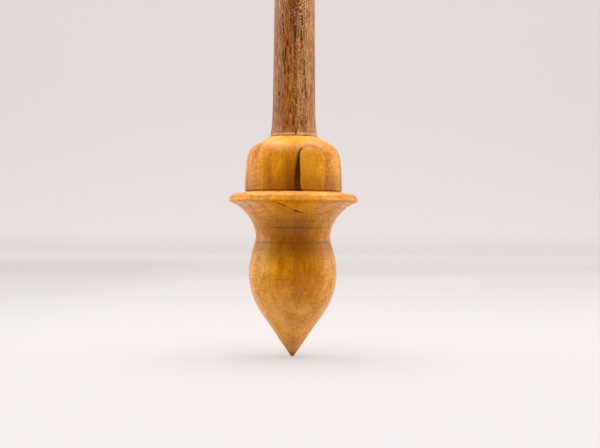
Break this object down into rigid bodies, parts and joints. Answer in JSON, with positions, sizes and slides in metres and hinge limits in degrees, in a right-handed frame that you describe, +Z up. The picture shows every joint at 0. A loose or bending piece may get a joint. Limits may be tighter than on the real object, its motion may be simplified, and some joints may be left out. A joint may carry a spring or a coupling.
{
  "type": "hand support spindle",
  "caption": "Turned wooden hand support spindle: a domed, flanged whorl that narrows to a fine spinning point, with a slim tapered shaft tenoned into its top.",
  "frame": {"origin": "the spinning point at the lowest end of the whorl, on the axis", "axes": "+Z up the shaft along the turning axis; X and Y are free, because the part is a body of revolution"},
  "size_m": [0.036, 0.036, 0.2851],
  "materials": {
    "fruitwood": "close-grained honey-coloured turned wood, sanded and oiled to a satin gloss",
    "dark_hardwood": "open-grained mid-brown turned hardwood with dark pores, oiled satin"
  },
  "bodies": {
    "root": {"whorl": "fruitwood", "shaft": "dark_hardwood"}
  },
  "joints": []
}
